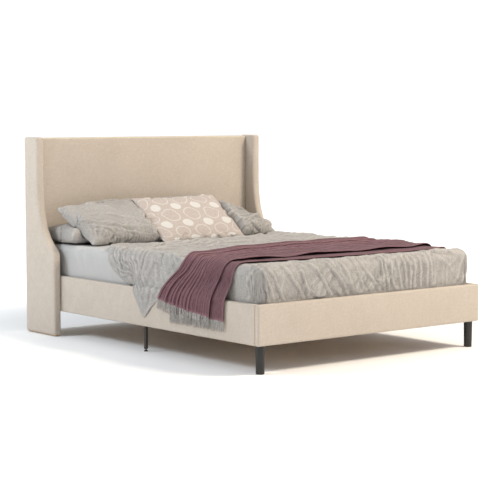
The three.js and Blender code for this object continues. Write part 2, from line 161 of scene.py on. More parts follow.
def tube(line, radii, sides=5):
    """Points and faces of a closed-ended tube along a line of points."""
    line = np.asarray(line, float)
    heading = np.gradient(line, axis=0)
    heading /= np.linalg.norm(heading, axis=1, keepdims=True)
    helper = np.array([0, 1, 0]) if abs(heading[0, 1]) < 0.9 else np.array([1, 0, 0])
    side = np.cross(heading, helper)
    side /= np.linalg.norm(side, axis=1, keepdims=True)
    other = np.cross(heading, side)
    turns = np.linspace(0, 2 * math.pi, sides, endpoint=False)
    rings = (
        line[:, None]
        + np.asarray(radii)[:, None, None] * (np.cos(turns)[:, None] * side[:, None]
                                              + np.sin(turns)[:, None] * other[:, None])
    )
    return rings.reshape(-1, 3), capped_faces(len(line), sides)


def joined(name, parts):
    """One object from several (points, faces) pairs."""
    points, faces, first = [], [], 0
    for part_points, part_faces in parts:
        points.append(part_points)
        faces += [tuple(first + i for i in face) for face in part_faces]
        first += len(part_points)
    return new_object(name, np.concatenate(points), faces)


# ---- Materials -----------------------------------------------------------------------------


def colour(red, green, blue):
    """A screen colour, 0 to 255, as the linear colour that a shader takes."""
    parts = [value / 255 for value in (red, green, blue)]
    linear = [v / 12.92 if v <= 0.04045 else ((v + 0.055) / 1.055) ** 2.4 for v in parts]
    return (*linear, 1.0)


class Surface:
    """A Principled material being made: short calls that add nodes and join them."""

    def __init__(self, name, **sockets):
        self.material = bpy.data.materials.new(name)
        self.material.use_nodes = True
        self.nodes = self.material.node_tree.nodes
        self.links = self.material.node_tree.links
        self.shader = self.nodes["Principled BSDF"]
        for socket, value in sockets.items():
            self.shader.inputs[socket.replace("_", " ")].default_value = value

    def node(self, kind, inputs=(), **settings):
        made = self.nodes.new(kind)
        for key, value in settings.items():
            setattr(made, key, value)
        for socket, value in dict(inputs).items():
            self.feed(made.inputs[socket], value)
        return made

    def feed(self, socket, value):
        """Joins another node's output to an input, or sets it to a plain value."""
        if isinstance(value, bpy.types.NodeSocket):
            self.links.new(value, socket)
        else:
            socket.default_value = value

    def place(self, stretch=(1, 1, 1), cloth=False):
        """Coordinates in metres, on the object or on the flat cloth, times stretch."""
        if cloth:
            source = self.node("ShaderNodeUVMap", uv_map="cloth").outputs["UV"]
        else:
            source = self.node("ShaderNodeTexCoord").outputs["Object"]
        scaled = self.node("ShaderNodeVectorMath", {0: source, 1: stretch}, operation="MULTIPLY")
        return scaled.outputs["Vector"]

    def noise(self, place, size, detail=3):
        """Uneven values about 0.5 with features of about the given size."""
        inputs = {"Vector": place, "Scale": 1 / size, "Detail": detail, "Roughness": 0.6}
        return self.node("ShaderNodeTexNoise", inputs).outputs["Fac"]

    def creases(self, place, size):
        """Thin crossing lines, 1 on them and 0 between, about the given distance apart."""
        inputs = {"Vector": place, "Scale": 1 / size, "Detail": 2.5, "Roughness": 0.5, "Distortion": 0.6}
        middle = self.math("SUBTRACT", self.node("ShaderNodeTexNoise", inputs).outputs["Fac"], 0.5)
        return self.remap(self.math("ABSOLUTE", middle, 0), 0.045, 0.0)

    def painted_ridge_light_and_shade(self, tone, amount):
        """Painted light and shade: a tone raised on the surface's ridges as a highlight and lowered in its
        hollows as shade.
        """
        pointed = self.node("ShaderNodeNewGeometry").outputs["Pointiness"]
        lit = self.math("SUBTRACT", self.remap(pointed, 0.44, 0.56), 0.5)
        return self.math("ADD", tone, self.math("MULTIPLY", lit, amount))

    def wave(self, place, pitch, axis, wobble=0.0):
        inputs = {"Vector": place, "Scale": math.pi / (10 * pitch), "Distortion": wobble}
        return self.node("ShaderNodeTexWave", inputs, bands_direction=axis).outputs["Fac"]

    def math(self, operation, a, b):
        return self.node("ShaderNodeMath", {0: a, 1: b}, operation=operation).outputs[0]

    def blend(self, *weighted):
        """The sum of values, each times its weight."""
        total = None
        for value, weight in weighted:
            part = self.math("MULTIPLY", value, weight)
            total = part if total is None else self.math("ADD", total, part)
        return total

    def remap(self, value, low, high, to_low=0.0, to_high=1.0):
        inputs = {"Value": value, "From Min": low, "From Max": high}
        inputs |= {"To Min": to_low, "To Max": to_high}
        return self.node("ShaderNodeMapRange", inputs).outputs["Result"]

    def mix(self, share, a, b):
        made = self.node("ShaderNodeMix", {"Factor": share}, data_type="RGBA")
        self.feed(made.inputs[6], a)  # the two colour inputs; numbers and vectors have their own
        self.feed(made.inputs[7], b)
        return made.outputs[2]

    def finish(self, base, height=None, depth=0.001, strength=0.6, rough=None):
        self.links.new(base, self.shader.inputs["Base Color"])
        if rough is not None:
            self.links.new(rough, self.shader.inputs["Roughness"])
        if height is not None:
            inputs = {"Height": height, "Distance": depth, "Strength": strength}
            bump = self.node("ShaderNodeBump", inputs)
            self.links.new(bump.outputs["Normal"], self.shader.inputs["Normal"])
        return self.material


def woven(name, dark, light, thread, cloth=False, mottle=0.010, sheen=0.12, depth=0.0008, crumple=0):
    """Plain-weave cloth: crossed threads, slubs along them and a soft mottle. Crumpled cloth has fine
    creases as well, with a painted highlight on its ridges and painted shade in its hollows."""
    surface = Surface(name, Roughness=0.92, Sheen_Weight=sheen, Specular_IOR_Level=0.2)
    place = surface.place(cloth=cloth)
    threads = None
    for axis in "XY" if cloth else "XYZ":
        strand = surface.wave(place, thread, axis, wobble=0.8)
        threads = strand if threads is None else surface.math("ADD", threads, strand)
    slub_across = surface.noise(surface.place((1, 0.08, 0.08), cloth), thread * 1.2)
    slub_up = surface.noise(surface.place((0.08, 1, 1), cloth), thread * 1.2)
    slubs = surface.math("ADD", slub_across, slub_up)
    patches = surface.noise(place, mottle)
    broad = surface.noise(place, 0.18)
    tone = surface.blend((slubs, 0.35), (patches, 0.5), (broad, 0.25))
    height = surface.math("ADD", threads, slubs)
    if crumple:
        lines = surface.creases(surface.place((1, 0.55, 1), cloth), 0.060)
        finer = surface.creases(surface.place((0.6, 1, 1), cloth), 0.028)
        lines = surface.math("ADD", lines, surface.math("MULTIPLY", finer, 0.5))
        height = surface.math("ADD", height, surface.math("MULTIPLY", lines, crumple / depth))
        # painted highlight on the creased cloth's ridges and painted shade in its hollows
        tone = surface.painted_ridge_light_and_shade(tone, 0.55)
    base = surface.mix(surface.remap(tone, 0.45, 1.10), dark, light)
    return surface.finish(base, height, depth, 0.8 if crumple else 0.5)


def knitted(name, dark, light):
    """Ribbed knit: fine wales along the cloth with rows of loops across them, heathered yarn."""
    surface = Surface(name, Roughness=0.95, Sheen_Weight=0.12, Specular_IOR_Level=0.15)
    surface.shader.inputs["Sheen Roughness"].default_value = 0.4
    place = surface.place(cloth=True)
    wales = surface.wave(place, 0.0075, "Y", wobble=0.4)
    loops = surface.wave(place, 0.0060, "X", wobble=1.2)
    stitches = surface.math("MULTIPLY", wales, surface.math("ADD", loops, 0.6))
    yarn = surface.noise(surface.place((0.25, 1, 1), True), 0.006)
    heather = surface.noise(place, 0.03)
    tone = surface.blend((stitches, 0.35), (yarn, 0.6), (heather, 0.3))
    # painted highlight on the knit's ridges and painted shade in its hollows
    tone = surface.painted_ridge_light_and_shade(tone, 0.9)
    base = surface.mix(surface.remap(tone, 0.35, 1.0), dark, light)
    return surface.finish(base, stitches, 0.002, 0.8)


OVAL_SPACING = (0.150, 0.110)  # the cushion's printed ovals, along it and up it
SOLID_OVAL = (0.037, 0.023)  # half sizes
OUTLINED_OVAL = (0.052, 0.037)


def printed(name, pale, tint, deep, line):
    """Cotton with evenly spaced rows of ovals, solid and outlined in turn, over fine hatching."""
    surface = Surface(name, Roughness=0.9, Sheen_Weight=0.10, Specular_IOR_Level=0.2)
    place = surface.place(cloth=True)

    def vector(operation, a, b=(0, 0, 0), output="Vector"):
        return surface.node("ShaderNodeVectorMath", {0: a, 1: b}, operation=operation).outputs[output]

    def reach(half, shift):
        """Distance from the nearest oval's middle as a share of its half size."""
        counted = vector("DIVIDE", place, (*OVAL_SPACING, 1))
        cell = vector("FRACTION", vector("ADD", counted, (shift, shift, 0)))
        middle = vector("SUBTRACT", cell, (0.5, 0.5, 0))
        sizes = [spacing / size for spacing, size in zip(OVAL_SPACING, half)]
        return vector("LENGTH", vector("MULTIPLY", middle, (*sizes, 0)), output="Value")

    hatch = surface.wave(surface.place((1, 0.4, 1), True), 0.007, "X", wobble=3.0)
    blotch = surface.noise(place, 0.012)
    shade = surface.blend((hatch, 0.4), (blotch, 0.6))
    base = surface.mix(surface.remap(shade, 0.30, 0.65), deep, tint)
    off_line = surface.math("ABSOLUTE", surface.math("SUBTRACT", reach(OUTLINED_OVAL, 0.5), 1.0), 0)
    base = surface.mix(surface.remap(off_line, 0.07, 0.04), base, line)
    base = surface.mix(surface.remap(reach(SOLID_OVAL, 0.0), 1.0, 0.94), base, pale)
    height = surface.math("ADD", surface.wave(place, 0.003, "X", 0.8), surface.wave(place, 0.003, "Y", 0.8))
    return surface.finish(base, height, 0.0006, 0.5)


def wooden(name, axis, dark, light):
    """Plain timber with its grain along one axis."""
    surface = Surface(name, Roughness=0.55, Specular_IOR_Level=0.35)
    stretch = [1, 1, 1]
    stretch[axis] = 0.06
    place = surface.place(stretch)
    grain = surface.noise(place, 0.004, detail=5)
    rings = surface.noise(place, 0.030, detail=2)
    tone = surface.blend((grain, 0.6), (rings, 0.5))
    base = surface.mix(surface.remap(tone, 0.35, 0.75), dark, light)
    return surface.finish(base, grain, 0.0006, 0.4, surface.remap(grain, 0.3, 0.7, 0.5, 0.7))


def worn(name, dark, light, roughness, metal=0.0, size=0.004, depth=0.0002):
    """A hard finish with slight mottling and uneven gloss."""
    surface = Surface(name, Metallic=metal, Specular_IOR_Level=0.45)
    place = surface.place()
    fine = surface.noise(place, size, detail=4)
    broad = surface.noise(place, 0.05)
    tone = surface.blend((fine, 0.5), (broad, 0.5))
    base = surface.mix(surface.remap(tone, 0.35, 0.65), dark, light)
    rough = surface.remap(tone, 0.3, 0.7, roughness - 0.08, roughness + 0.08)
    return surface.finish(base, fine, depth, 0.5, rough)


LINEN_DARK, LINEN_LIGHT = colour(178, 167, 154), colour(208, 197, 185)
materials = {
    "upholstery": woven("upholstery", LINEN_DARK, LINEN_LIGHT, 0.0026),
    "foam": worn("foam", colour(214, 204, 170), colour(230, 222, 192), 0.9, size=0.003, depth=0.001),
    "dust_cloth": woven("dust_cloth", colour(34, 34, 36), colour(52, 52, 54), 0.0015),
    "black_leg": worn("black_leg", colour(30, 28, 27), colour(46, 43, 41), 0.42),
    "dark_steel": worn("dark_steel", colour(58, 52, 48), colour(76, 69, 64), 0.45, metal=0.4),
    "black_nylon": worn("black_nylon", colour(26, 26, 26), colour(38, 38, 38), 0.6),
    "ticking": woven("ticking", colour(222, 222, 218), colour(238, 238, 234), 0.0020),
    "white_cotton": woven("white_cotton", colour(190, 189, 187), colour(208, 207, 205), 0.0014,
                          cloth=True, crumple=0.0012),
    "grey_linen": woven("grey_linen", colour(142, 138, 134), colour(206, 202, 197), 0.0022,
                        cloth=True, crumple=0.0030),
    "plum_knit": knitted("plum_knit", colour(66, 42, 47), colour(140, 103, 110)),
    "fringe": woven("fringe", colour(92, 86, 84), colour(224, 220, 214), 0.0030, mottle=0.009),
    "printed_cotton": printed("printed_cotton", colour(206, 204, 200), colour(196, 187, 181),
                              colour(164, 152, 146), colour(204, 200, 195)),
}
PINE_DARK, PINE_LIGHT = colour(176, 138, 96), colour(214, 178, 132)
timber = [wooden(f"timber_{'xyz'[axis]}", axis, PINE_DARK, PINE_LIGHT) for axis in range(3)]


def dress(obj, material, body, slot, *replaced, fill=None):
    """Gives a new piece its material and body, and hides the CAD nodes it stands for; its slot is not used.
    """
    obj.data.materials.append(materials[material])
    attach(obj, body)
    if replaced:
        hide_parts(*replaced)
    return obj


# ---- CAD nodes that stay -------------------------------------------------------------------


def finish_cad_nodes():
    """Procedural finishes and slightly broken edges on the pieces whose CAD shape is right."""
    for row in frame["record"]["subparts"]:
        obj = frame["nodes"][row["node"]]
        low, high = corners(row["node"])
        if row["material_slot"] == "wood":
            finish = timber[int(np.argmax(high - low))]
        else:
            finish = materials[row["material_slot"]]
        if obj.data.materials:
            obj.data.materials[0] = finish
        else:
            obj.data.materials.append(finish)
        if row["material_slot"] in ("wood", "dark_steel"):
            modifier(obj, "BEVEL", width=0.0012, segments=2, limit_method="ANGLE")


# ---- Upholstery ----------------------------------------------------------------------------


def ticks(low, high, radius, step):
    """Places along one side of a rounded box: close together round its edges."""
    bend = [radius * (1 - math.tan(math.radians(angle))) for angle in (45, 34, 23, 11)]
    count = max(1, round((high - low - 2 * radius) / step))
    middle = np.linspace(low + radius, high - radius, count + 1)
    return np.concatenate([low + np.array(bend), middle, high - np.array(bend[::-1])])


def rounded_box(low, high, radius, step):
    """Points and outward faces of a box with rounded edges, as an even net."""
    along = [ticks(low[axis], high[axis], radius, step) for axis in range(3)]
    index, points, faces = {}, [], []

    def vertex(place):
        if place not in index:
            index[place] = len(points)
            points.append([along[axis][place[axis]] for axis in range(3)])
        return index[place]

    for axis in range(3):
        b, c = (axis + 1) % 3, (axis + 2) % 3
        for end in (0, len(along[axis]) - 1):
            for i in range(len(along[b]) - 1):
                for j in range(len(along[c]) - 1):
                    face = []
                    for db, dc in ((0, 0), (1, 0), (1, 1), (0, 1)):
                        place = [0, 0, 0]
                        place[axis], place[b], place[c] = end, i + db, j + dc
                        face.append(vertex(tuple(place)))
                    faces.append(tuple(face) if end else tuple(face[::-1]))
    points = np.array(points)
    core = np.clip(points, np.array(low) + radius, np.array(high) - radius)
    away = points - core
    away *= radius / np.linalg.norm(away, axis=1, keepdims=True)
    return core + away, faces


def without(points, faces, dropped):
    """The faces whose centres the test keeps, with the points that they use."""
    kept = [face for face in faces if not dropped(points[list(face)].mean(0))]
    used = sorted({i for face in kept for i in face})
    place = {old: new for new, old in enumerate(used)}
    return points[used], [tuple(place[i] for i in face) for face in kept]


def padded_out(points, low, high, axis, crown, seed):
    """Crowns both faces across an axis a little and makes the padding slightly uneven."""
    middle = (np.array(low) + np.array(high)) / 2
    share = (points - middle) / ((np.array(high) - np.array(low)) / 2)
    others = [i for i in range(3) if i != axis]
    crowned = np.prod([1 - np.abs(share[:, i]) ** 4 for i in others], axis=0)
    uneven = 0.6 * ripple(points, 0.30, seed) + 0.4 * ripple(points, 0.11, seed + 1)
    face = smoothstep(np.abs(share[:, axis]), 0.6, 1.0) * np.sign(share[:, axis])
    made = points.copy()
    made[:, axis] += face * crowned * (crown + 0.0007 * uneven)
    return made


def upholster(part, points, faces, lining=0):
    """A part's padded cover; lining is its cloth's thickness where it is open at the back."""
    obj = new_object(f"{part}_upholstery", points, faces)
    if lining:
        modifier(obj, "SOLIDIFY", thickness=lining, offset=-1)
    dress(obj, "upholstery", "frame", "upholstery", f"{part}_cover", fill=1.0)


def make_headboard():
    low, high = headboard_low.copy(), headboard_high.copy()
    radius, back = 0.012, high[1]
    low[1] += 0.0015
    high[1] += radius
    points, faces = rounded_box(low, high, radius, 0.014)
    points = padded_out(points, low, high, 1, 0.0025, 11)
    points, faces = without(points, faces, lambda centre: centre[1] > back)
    points[:, 1] = np.minimum(points[:, 1], back)
    upholster("headboard", points, faces, 0.002)


def wing_front(z):
    """How far towards the foot a wing reaches at each height: wide low down, hollowed above."""
    low, high = corners("wing_left_cover")
    front, neck, top = low[1], high[1] - 0.147, high[2]
    shoulder, hollow = front + 0.036, neck - 0.023
    t = np.linspace(0, 1, 24)[:, None]
    start, middle, end = WING_BEND
    bend = (1 - t) ** 2 * [front, start] + 2 * t * (1 - t) * [front, middle] + t**2 * [shoulder, end]
    sweep = (
        (1 - t) ** 3 * [shoulder, end]
        + 3 * t * (1 - t) ** 2 * [hollow, WING_SWEEP[0]]
        + 3 * t**2 * (1 - t) * [neck, WING_SWEEP[1]]
        + t**3 * [neck, WING_SWEEP[2]]
    )
    outline = np.concatenate([[[front, 0]], bend, sweep[1:], [[neck, top]]])
    return np.interp(z, outline[:, 1], outline[:, 0])


def make_wing(side, seed):
    low, high = corners(f"wing_{side}_cover")
    radius, margin = 0.014, 0.030
    points, faces = rounded_box(low, high, radius, 0.010)
    from_front = points[:, 1] - low[1]
    from_back = high[1] - points[:, 1]
    front = wing_front(points[:, 2])
    share = np.clip((from_front - margin) / (high[1] - low[1] - 2 * margin), 0, 1)
    stretched = front + margin + share * (high[1] - front - 2 * margin)
    placed = np.where(from_front < margin, front + from_front, stretched)
    points[:, 1] = np.where(from_back < margin, points[:, 1], placed)
    points = padded_out(points, low, high, 0, 0.0015, seed)
    upholster(f"wing_{side}", points, faces)


def make_rail(rail, axis, inner, half_span, radius, crown, seed):
    """A rail's cover, open on its inner face, where its board shows between two hems."""
    low, high = corners(f"{rail}_cover")
    points, faces = rounded_box(low, high, radius, 0.012)
    points = padded_out(points, low, high, axis, crown, seed)

    def board_shows(centre):
        inside = abs(centre[axis] - inner) < 0.003 and abs(centre[1 - axis]) < half_span
        return inside and low[2] + RAIL_HEM < centre[2] < high[2] - RAIL_HEM

    points, faces = without(points, faces, board_shows)
    upholster(rail, points, faces, 0.0015)


def make_side_rail(side, seed):
    low, high = corners(f"side_rail_{side}_cover")
    inner = high[0] if side == "left" else low[0]
    make_rail(f"side_rail_{side}", 0, inner, math.inf, 0.008, 0.0012, seed)


def make_foot_rail():
    inner = corners("foot_rail_cover")[1][1]
    make_rail("foot_rail", 1, inner, RAIL_INSIDE, 0.009, 0.0015, 41)


def make_front_leg(side):
    node = f"front_leg_{side}"
    low, high = corners(node)
    middle = (low + high) / 2
    rail_bottom = rail_low[2]
    shoulder = rail_bottom - 0.0003  # the thin bolt above it goes up into the corner block
    profile = [  # radius and height
        (0.0190, 0.0), (0.0215, 0.0008), (0.0222, 0.0030), (0.0228, 0.040), (0.0236, 0.090),
        (0.0242, 0.138), (0.0238, rail_bottom - 0.0010), (0.0225, shoulder),
        (0.0040, shoulder), (0.0040, high[2] - 0.001), (0.0030, high[2]),
    ]
    sides = 48
    turns = np.linspace(0, 2 * math.pi, sides, endpoint=False)
    rings = [
        np.stack([middle[0] + r * np.cos(turns), middle[1] + r * np.sin(turns), np.full(sides, z)], 1)
        for r, z in profile
    ]
    obj = new_object(f"{node}_turned", np.concatenate(rings), capped_faces(len(rings), sides))
    modifier(obj, "BEVEL", width=0.0006, segments=2, limit_method="ANGLE")
    dress(obj, "black_leg", "frame", "black_leg", node)


# ---- Bedding: cloth laid over the mattress -------------------------------------------------


def laid_over(s, t, half, foot, head, top, edge, corner):
    """Where points of a flat cloth lie on the bed. s is across it and t towards the head; past
    an edge of the mattress the cloth goes round it and down, and round the corners in plan."""
    middle_s = np.clip(s, corner - half, half - corner)
    middle_t = np.clip(t, foot + corner, head - corner)
    ds, dt = s - middle_s, t - middle_t
    length = np.hypot(ds, dt)
    heading = np.stack([ds, dt], -1) / np.maximum(length, 1e-9)[..., None]
    away = np.maximum(np.abs(ds), np.abs(dt))
    past = away - (corner - edge)
    bend = np.clip(past / edge, 0, math.pi / 2)
    down = edge * (1 - np.cos(bend)) + np.clip(past - edge * math.pi / 2, 0, None)
    reach = np.where(past < 0, away, corner - edge + edge * np.sin(bend))
    plan = np.stack([middle_s, middle_t], -1) + heading * reach[..., None]
    return np.concatenate([plan, (top - down)[..., None]], -1)


def over_length(edge, corner, top, hem):
    """Cloth between the straight middle of the bed and its hem down the side."""
    return corner - edge + edge * math.pi / 2 + top - edge - hem


def folds(s, t, lines):
    """Rounded ridges on flat cloth, one for each line: start, end, half width and height."""
    relief = np.zeros_like(s)
    for start, end, width, height in lines:
        ds, dt = end[0] - start[0], end[1] - start[1]
        along = np.clip(((s - start[0]) * ds + (t - start[1]) * dt) / (ds * ds + dt * dt), 0, 1)
        gap = np.hypot(s - start[0] - along * ds, t - start[1] - along * dt)
        relief += height * np.exp(-((gap / width) ** 2)) * np.sin(math.pi * along) ** 0.6
    return relief


def scattered(count, seed, s_range, t_range, heading, length, width, height, spread=12):
    """Lines for folds, strewn over a region and running about one way (degrees from +s)."""
    random = np.random.default_rng(seed)
    lines = []
    for _ in range(count):
        start = np.array([random.uniform(*s_range), random.uniform(*t_range)])
        angle = math.radians(heading + random.normal() * spread)
        end = start + random.uniform(*length) * np.array([math.cos(angle), math.sin(angle)])
        lines.append((start, end, random.uniform(*width), random.uniform(*height)))
    return lines


def fan(centre, headings, length, width, height, seed):
    """Lines for creases that radiate from a pinch in the cloth."""
    random = np.random.default_rng(seed)
    lines = []
    for heading in headings:
        angle = math.radians(heading + random.uniform(-3, 3))
        way = np.array([math.cos(angle), math.sin(angle)])
        near, far = random.uniform(0.01, 0.05), random.uniform(*length)
        lines.append((np.array(centre) + near * way, np.array(centre) + far * way,
                      random.uniform(*width), random.uniform(*height)))
    return lines


DUVET = {"half": duvet_high[0], "foot": duvet_low[1], "head": 10.0, "top": duvet_high[2] - 0.003,
         "edge": 0.050, "corner": 0.056}
DUVET_HEM = RAIL_TOP - TUCK
DUVET_OVER = over_length(DUVET["edge"], DUVET["corner"], DUVET["top"], DUVET_HEM)
DUVET_SIDE = DUVET["half"] - DUVET["corner"] + DUVET_OVER  # from the middle to the side hem
DUVET_FOOT = DUVET["foot"] + DUVET["corner"] - DUVET_OVER  # t of the foot hem
DUVET_HEAD = np.array([  # its edge towards the head, (s, t) from the left hem to the right one
    (-0.96, 0.10), (-0.92, 0.13), (-0.86, 0.24), (-0.82, 0.275), (-0.76, 0.30), (-0.62, 0.420),
    (-0.50, 0.470), (-0.30, 0.478), (0.0, 0.485), (0.30, 0.50), (0.47, 0.53),
    (0.56, 0.575), (0.75, 0.595), (0.96, 0.56),
])
FLAP_HEAD, FLAP_FOOT = 0.030, -0.330  # the duvet's loose corner hangs out between these
FLAP_TIP = (-0.090, 0.198)
FLAP_HEM = np.array([  # y and height of its hanging hem
    (-0.335, 0.330), (-0.220, 0.302), (-0.173, 0.268), (-0.135, 0.231), (-0.104, 0.202), FLAP_TIP,
    (-0.069, 0.219), (-0.031, 0.271), (0.011, 0.328), (0.030, 0.356),
])


def flap_line():
    """The way the duvet's loose corner takes in (x, z): out over the left rail and down."""
    sill = RAIL_TOP + 0.0095
    bend = 0.012
    out = RAIL_OUTSIDE + 0.006
    turn = np.linspace(0, math.pi / 2, 6)
    shoulder = np.stack([-(out - bend) - bend * np.sin(turn), sill - bend + bend * np.cos(turn)], 1)
    start = [-DUVET["half"], DUVET["top"] - DUVET["edge"]]
    return np.concatenate([[start], shoulder, [[-out, 0.15]]])


def along_line(line, distance):
    """Points at given distances along a line of points."""
    steps = np.linalg.norm(np.diff(line, axis=0), axis=1)
    places = np.concatenate([[0], np.cumsum(steps)])
    return np.stack([np.interp(distance, places, line[:, i]) for i in range(line.shape[1])], -1)


def loosen_flap(points, s, t):
    """Lifts the duvet's left hem out of the rail near the flap, then takes it out over the rail.
    Also gives how far each point has gone out, from 0 to 1."""
    line = flap_line()
    start = DUVET["half"] - DUVET["edge"] + DUVET["edge"] * math.pi / 2
    drop = DUVET_SIDE - start
    share = np.clip((-s - start) / drop, 0, None)
    lifted = smoothstep(-t, -0.150, -0.060) * smoothstep(t, FLAP_FOOT - 0.06, FLAP_FOOT - 0.02)
    out = smoothstep(-t, -FLAP_HEAD - 0.025, -FLAP_HEAD + 0.025)
    out = out * smoothstep(t, FLAP_FOOT - 0.02, FLAP_FOOT)
    to_sill = DUVET["top"] - DUVET["edge"] - RAIL_TOP - 0.008
    length = drop + (to_sill - drop) * lifted
    hem = np.interp(t, FLAP_HEM[:, 0], FLAP_HEM[:, 1])
    over = np.linalg.norm(line[1] - line[0]) + 0.012 * math.pi / 2
    hanging = along_line(line, share * (over + np.clip(line[-2, 1] - hem, 0, None)))
    side = (s < -start) & (lifted + out > 0)
    made = points.copy()
    made[..., 0] = np.where(side, (1 - out) * points[..., 0] + out * hanging[..., 0], points[..., 0])
    level = DUVET["top"] - DUVET["edge"] - share * length
    made[..., 2] = np.where(side, (1 - out) * level + out * hanging[..., 1], points[..., 2])
    return made, np.where(side, out, 0)


def duvet_folds():
    side, foot = DUVET_SIDE, DUVET_FOOT
    edge, foot_edge = DUVET["half"], DUVET["foot"]
    pinch = (-side + 0.045, -0.020)
    fine, coarse = (0.006, 0.010), (0.008, 0.013)
    lines = fan(pinch, (18, 30, 42, 54, 66, 78), (0.16, 0.36), fine, (0.003, 0.006), 1)
    lines += fan(pinch, (-8, 0, 8, 14), (0.25, 0.60), coarse, (0.004, 0.007), 2)
    lines += fan(pinch, (-20, -32, -44), (0.12, 0.26), coarse, (0.003, 0.006), 3)
    for i in range(11):  # gathers down the side beside the head-end edge
        t = 0.260 - 0.024 * i
        drift = 0.010 * math.sin(4 * i)
        start = (-side + 0.01, t - 0.13 + 0.009 * i)
        lines.append((start, (-side + 0.28 + drift, t + drift), 0.007, 0.0050))
    soft = (0.010, 0.018)
    lines += scattered(20, 4, (-0.78, -0.2), (-0.20, 0.40), 14, (0.25, 0.6), soft, (0.002, 0.005))
    lines += scattered(20, 5, (-0.2, 0.7), (-0.20, 0.45), 4, (0.2, 0.6), soft, (0.002, 0.004))
    lines += scattered(12, 6, (-0.7, 0.7), (-0.99, -0.86), -20, (0.15, 0.45), soft, (0.002, 0.004))
    for i in range(7):  # curves round the left side between the throw and the foot corner
        start = (-edge + 0.02, -0.86 - 0.022 * i)
        lines.append((start, (-side, -0.91 - 0.020 * i), 0.008, 0.0035))
    for i, s in enumerate((-0.68, -0.61, -0.49, -0.44, -0.31, -0.19, -0.14, -0.04, 0.04)):
        lean = 0.09 + 0.02 * (i % 3)  # slanting folds down the left half of the foot
        lines.append(((s - lean, foot_edge + 0.05), (s + 0.35 * lean, foot), 0.007, 0.0050))
    for i in range(10):  # close upright folds right of the middle
        s = 0.10 + 0.040 * i + 0.008 * math.sin(5 * i)
        lines.append(((s - 0.03, foot_edge + 0.03), (s + 0.012, foot), 0.007, 0.0055))
    for s in (-edge + 0.035, edge - 0.035):  # the pleats at both foot corners
        lines.append(((s, foot_edge + 0.01), (s, foot - 0.05), 0.009, 0.008))
    small = (0.004, 0.007)
    lines += scattered(90, 8, (-side, edge), (-0.22, 0.45), 25, (0.04, 0.14), small, (0.0010, 0.0026), 50)
    lines += scattered(80, 9, (-edge, edge), (foot, -0.85), 100, (0.04, 0.12), small, (0.0010, 0.0024), 40)
    return lines


def flap_folds(points):
    """Folds that run down to the flap's tip, as heights over its (y, z) face."""
    lines = []
    tops = ((0.005, 0.008), (-0.045, 0.013), (-0.095, 0.010), (-0.150, 0.013), (-0.220, 0.009))
    for i, (y, height) in enumerate(tops):
        end = (FLAP_TIP[0] - 0.008 + 0.25 * (y - FLAP_TIP[0]), FLAP_TIP[1] + 0.02 + 0.012 * (i % 2))
        lines.append(((y, RAIL_TOP + 0.10), end, 0.012, height))
    return folds(points[..., 1], points[..., 2], lines) + 0.0012 * ripple(points[..., 1:], 0.05, 55)


def soft_cloth(obj, frames, **values):
    """Cloth settings that the duvet and the pillow cases share, then their own."""
    cloth = modifier(obj, "CLOTH")
    cloth.point_cache.frame_end = frames
    cloth.settings.shear_stiffness = 8
    cloth.settings.bending_stiffness = 0.05
    cloth.settings.effector_weights.gravity = 0
    for key, value in values.items():
        setattr(cloth.settings, key, value)


def crumpled(points, normals, faces, held, growth, frames=18):
    """The cloth after a simulation in which it is a little larger than the form it lies on, so
    that it buckles into folds. It may stand off that form but hardly sink into it."""
    obj = new_object("loose_cloth", points, faces)
    group = obj.vertex_groups.new(name="held")
    shares = np.round(held.ravel(), 2)
    for share in np.unique(shares[shares > 0]):
        group.add(np.nonzero(shares == share)[0].tolist(), float(share), "REPLACE")
    soft_cloth(obj, frames, quality=5, mass=0.2, air_damping=1, tension_stiffness=20,
               compression_stiffness=20, vertex_group_shrink=group.name, shrink_min=-growth,
               shrink_max=0, vertex_group_mass=group.name, pin_stiffness=1)
    moved = run_cloth(obj, frames).reshape(points.shape) - points
    height = (moved * normals).sum(-1)
    sink, stand = 0.001, 0.016
    allowed = np.where(height < 0, -sink * np.tanh(-height / sink), stand * np.tanh(height / stand))
    return points + moved + normals * (allowed - height)[..., None]


def rolled_edge(points, normals, radius, flat):
    """More rows past the last one, in which the cloth's edge rolls under and lies flat."""
    ahead = points[-1] - points[-2]
    ahead /= np.maximum(np.linalg.norm(ahead, axis=-1, keepdims=True), 1e-9)
    rows = []
    for angle in np.linspace(0.5, math.pi, 6):
        away = radius * math.sin(angle) * ahead
        rows.append(points[-1] + away - radius * (1 - math.cos(angle)) * normals[-1])
    rows.append(rows[-1] - flat * ahead)
    return np.concatenate([points, rows])


